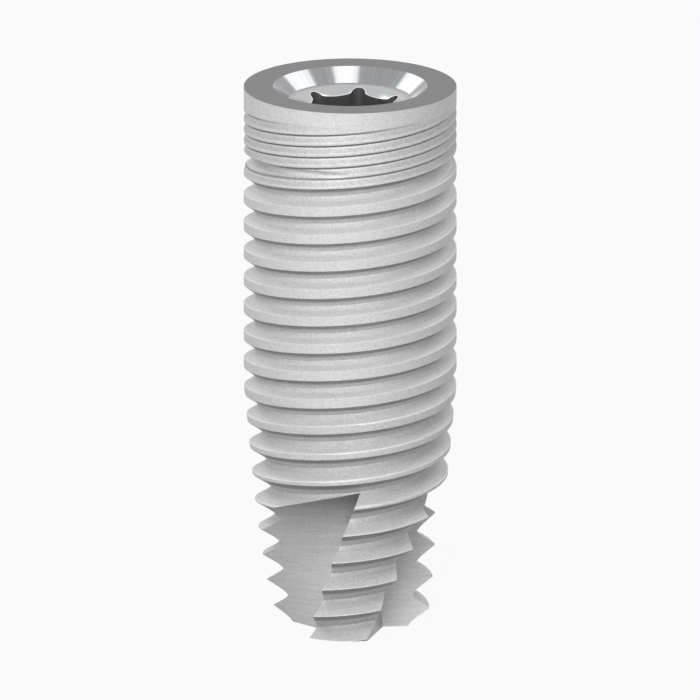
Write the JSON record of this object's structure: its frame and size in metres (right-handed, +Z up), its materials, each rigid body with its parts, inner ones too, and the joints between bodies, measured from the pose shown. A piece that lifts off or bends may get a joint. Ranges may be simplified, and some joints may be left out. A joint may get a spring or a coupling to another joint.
{
  "type": "dental implant",
  "caption": "Tapered self-tapping dental implant with a wide-crested thread, a fine thread under its collar, cutting flutes and a lobed driver socket.",
  "frame": {"origin": "centre of the flat apex, on the implant's axis", "axes": "+Z runs up the implant's axis from the apex to the platform, and -Y is the side the picture shows, with one cutting flute at its left"},
  "size_m": [0.0044, 0.0044, 0.0118],
  "materials": {
    "titanium": "blasted and etched on the thread, machined on the platform, polished on the bevel"
  },
  "bodies": {
    "root": {"implant_body": "titanium"}
  },
  "joints": []
}
